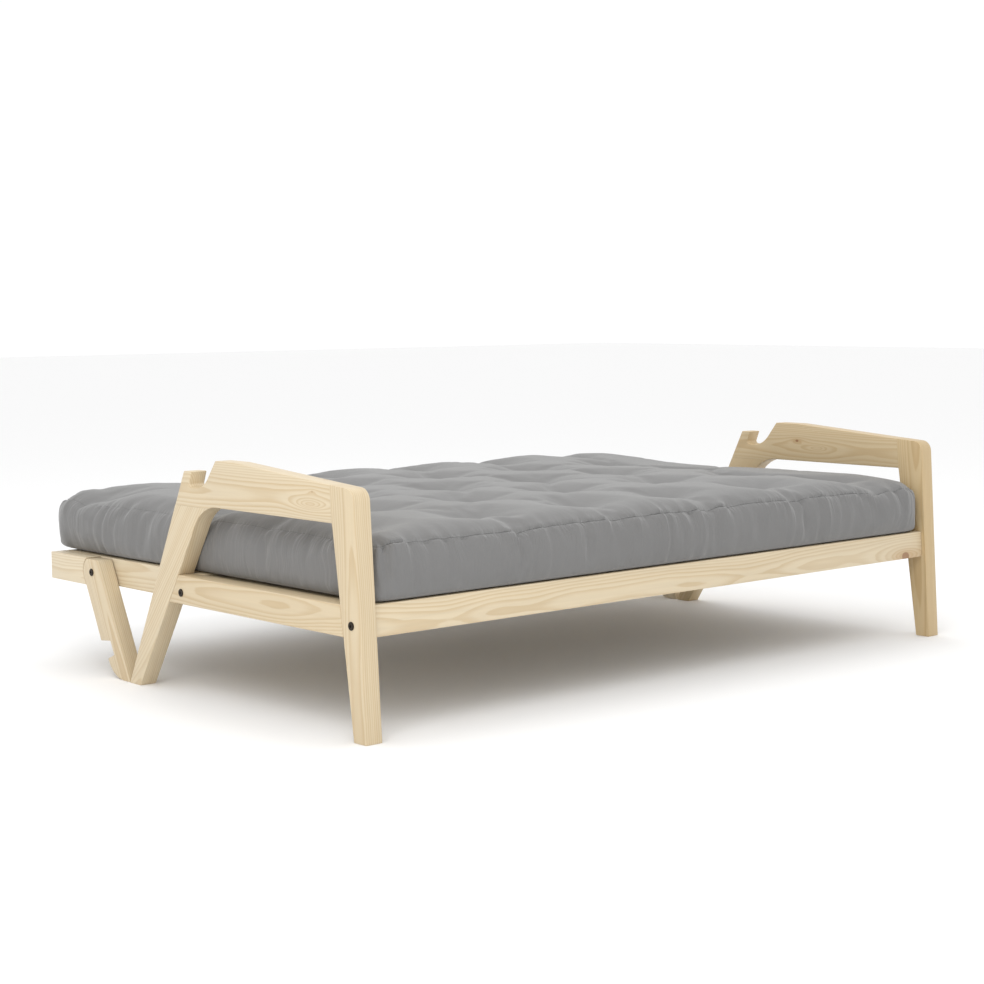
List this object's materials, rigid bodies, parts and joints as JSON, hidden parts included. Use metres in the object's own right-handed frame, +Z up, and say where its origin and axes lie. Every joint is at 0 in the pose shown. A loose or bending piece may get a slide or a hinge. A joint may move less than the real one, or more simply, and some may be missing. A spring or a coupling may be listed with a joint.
{
  "type": "futon sofa bed",
  "caption": "Pine futon sofa bed opened flat as a bed: notched arms, slatted seat, folding back frame on hooked swing legs, and a thick tufted cotton mattress.",
  "frame": {"origin": "middle of the bounding box, on the floor", "axes": "+Z up, -Y the front long side, X along the bed"},
  "size_m": [2.0454, 1.384, 0.58],
  "materials": {
    "pine": "clear satin lacquer over knotty pine",
    "mattress_cloth": "mid-grey woven cotton, matt, tufted",
    "dark_bolt": "dark bronzed steel, satin",
    "steel_nut": "plain zinc-plated steel"
  },
  "bodies": {
    "frame": {"left_front_leg": "pine", "left_arm_rail": "pine", "left_rear_leg": "pine", "left_side_rail": "pine", "left_front_bolt": "dark_bolt", "left_side_bolt": "dark_bolt", "left_front_nut": "steel_nut", "left_side_nut": "steel_nut", "left_hinge_bolt": "dark_bolt", "right_front_leg": "pine", "right_arm_rail": "pine", "right_rear_leg": "pine", "right_side_rail": "pine", "right_front_bolt": "dark_bolt", "right_side_bolt": "dark_bolt", "right_front_nut": "steel_nut", "right_side_nut": "steel_nut", "right_hinge_bolt": "dark_bolt", "front_rail": "pine", "seat_rear_rail": "pine", "seat_front_ledger": "pine", "seat_rear_ledger": "pine", "seat_slat_01": "pine", "seat_slat_02": "pine", "seat_slat_03": "pine", "seat_slat_04": "pine", "seat_slat_05": "pine", "seat_slat_06": "pine", "seat_slat_07": "pine", "seat_slat_08": "pine", "seat_slat_09": "pine", "seat_slat_10": "pine", "seat_slat_11": "pine", "mattress_seat": "mattress_cloth", "mattress_fold": "mattress_cloth"},
    "back": {"left_back_rail": "pine", "left_end_block": "pine", "left_leg_bolt": "dark_bolt", "right_back_rail": "pine", "right_end_block": "pine", "right_leg_bolt": "dark_bolt", "back_front_rail": "pine", "back_rear_rail": "pine", "back_front_ledger": "pine", "back_rear_ledger": "pine", "back_slat_01": "pine", "back_slat_02": "pine", "back_slat_03": "pine", "back_slat_04": "pine", "back_slat_05": "pine", "back_slat_06": "pine", "back_slat_07": "pine", "back_slat_08": "pine", "back_slat_09": "pine", "back_slat_10": "pine", "back_slat_11": "pine", "mattress_back": "mattress_cloth"},
    "left_leg": {"left_swing_leg": "pine"},
    "right_leg": {"right_swing_leg": "pine"}
  },
  "joints": [
    {"name": "back_fold", "type": "hinge", "parent": "frame", "child": "back", "pos_m": [0, 0.11984, 0.258], "axis": [1, 0, 0], "range_deg": [0, 77.5], "deforming": ["mattress_fold"]},
    {"name": "left_leg_swing", "type": "hinge", "parent": "back", "child": "left_leg", "pos_m": [0, 0.453, 0.261], "axis": [1, 0, 0], "range_deg": [-136, 0]},
    {"name": "right_leg_swing", "type": "hinge", "parent": "back", "child": "right_leg", "pos_m": [0, 0.453, 0.261], "axis": [1, 0, 0], "range_deg": [-136, 0]}
  ],
  "couplings": [
    {"joint": "left_leg_swing", "follows": "back_fold", "ratio": -0.626},
    {"joint": "right_leg_swing", "follows": "back_fold", "ratio": -0.626}
  ]
}
